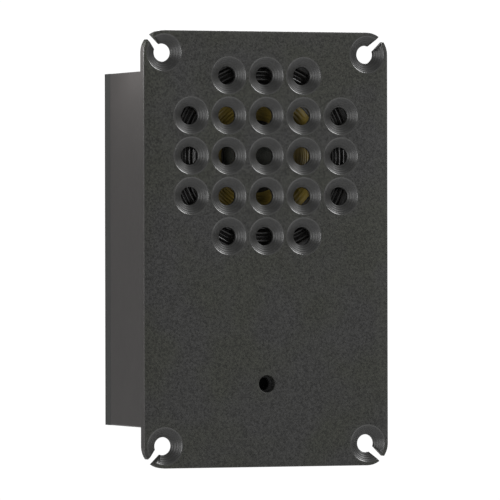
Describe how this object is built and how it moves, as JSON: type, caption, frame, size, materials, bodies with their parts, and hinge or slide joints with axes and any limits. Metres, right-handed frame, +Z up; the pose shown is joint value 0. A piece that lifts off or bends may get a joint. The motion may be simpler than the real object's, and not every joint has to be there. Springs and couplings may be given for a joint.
{
  "type": "teller window intercom",
  "caption": "Black flush window intercom unit: upright face with a countersunk speaker grille, a microphone hole and slit corner fixings, and a shallow case behind it.",
  "frame": {"origin": "middle of the four corner fixings, on the rear plane of the face, where the unit seats on its panel", "axes": "+X to the right as seen from the front, +Y back into the panel, +Z up"},
  "size_m": [0.0828, 0.0362, 0.1378],
  "materials": {
    "housing_black": "fine texture on the face, satin sides",
    "cover_black": "satin",
    "label_silver": "satin",
    "zinc_screw": "bright zinc",
    "foam_black": "open cell",
    "paper_board_black": "matt",
    "basket_steel": "zinc plated",
    "plate_steel": "passivated",
    "ferrite": "sintered",
    "surround_cloth": "doped, glossy",
    "cone_amber": "ribbed",
    "cap_grey": "felt",
    "coil_copper": "enamelled",
    "spider_cloth": "impregnated",
    "tag_board_brown": "matt",
    "tag_tin": "tinned",
    "boot_rubber": "matt",
    "capsule_aluminium": "satin",
    "board_green": "solder mask",
    "terminal_green": "satin",
    "pin_tin": "tinned",
    "clamp_brass": "nickelled",
    "trimmer_blue": "smooth",
    "shaft_white": "smooth",
    "switch_black": "smooth",
    "button_red": "smooth",
    "lamp_green": "diffused",
    "capacitor_sleeve": "shrunk sleeve",
    "chip_epoxy": "fine matt",
    "core_steel": "laminated",
    "bobbin_tape": "wound tape",
    "connector_nylon": "natural",
    "lead_red": "smooth",
    "lead_grey": "smooth"
  },
  "bodies": {
    "unit": {"front_housing": "housing_black", "rear_cover": "cover_black", "rating_label": "label_silver", "cover_screws": "zinc_screw", "speaker_gasket": "foam_black", "speaker_front_ring": "paper_board_black", "speaker_basket": "basket_steel", "speaker_top_plate": "plate_steel", "speaker_magnet": "ferrite", "speaker_yoke": "plate_steel", "surround": "surround_cloth", "spider": "spider_cloth", "speaker_tag_board": "tag_board_brown", "speaker_tags": "tag_tin", "speaker_clips": "zinc_screw", "speaker_clip_screws": "zinc_screw", "mic_boot": "boot_rubber", "mic_capsule": "capsule_aluminium", "main_board": "board_green", "board_screws": "zinc_screw", "terminal_socket": "terminal_green", "terminal_pins": "pin_tin", "volume_trimmer_body": "trimmer_blue", "mic_trimmer_body": "trimmer_blue", "mode_switch_body": "switch_black", "button_switch_body": "switch_black", "led_spacer": "switch_black", "status_led": "lamp_green", "capacitors": "capacitor_sleeve", "chips": "chip_epoxy", "transformer_core": "core_steel", "transformer_bobbin": "bobbin_tape", "wire_connectors": "connector_nylon", "speaker_leads": "lead_red", "mic_leads": "lead_grey"},
    "cone_body": {"speaker_cone": "cone_amber", "dust_cap": "cap_grey", "voice_coil": "coil_copper"},
    "plug_body": {"terminal_plug": "terminal_green", "terminal_cages": "clamp_brass", "terminal_screws": "zinc_screw"},
    "volume_shaft_body": {"volume_trimmer_shaft": "shaft_white"},
    "mic_gain_shaft_body": {"mic_trimmer_shaft": "shaft_white"},
    "mode_lever_body": {"mode_switch_lever": "shaft_white"},
    "button_body": {"button_plunger": "button_red"}
  },
  "joints": [
    {"name": "cone_travel", "type": "slide", "parent": "unit", "child": "cone_body", "axis": [0, 1, 0], "range_m": [-0.0008, 0.0008], "stiffness_N_per_m": 1500, "deforming": ["surround", "spider"]},
    {"name": "plug_pull", "type": "slide", "parent": "unit", "child": "plug_body", "axis": [0, 1, 0], "range_m": [0, 0.0066]},
    {"name": "volume_turn", "type": "hinge", "parent": "unit", "child": "volume_shaft_body", "pos_m": [-0.02394, 0.0175, -0.0144], "axis": [0, -1, 0], "range_deg": [-135, 135]},
    {"name": "mic_gain_turn", "type": "hinge", "parent": "unit", "child": "mic_gain_shaft_body", "pos_m": [-0.01047, 0.0175, -0.0144], "axis": [0, -1, 0], "range_deg": [-135, 135]},
    {"name": "mode_slide", "type": "slide", "parent": "unit", "child": "mode_lever_body", "axis": [1, 0, 0], "range_m": [0, 0.002]},
    {"name": "button_press", "type": "slide", "parent": "unit", "child": "button_body", "axis": [0, -1, 0], "range_m": [0, 0.0005], "stiffness_N_per_m": 3000}
  ]
}
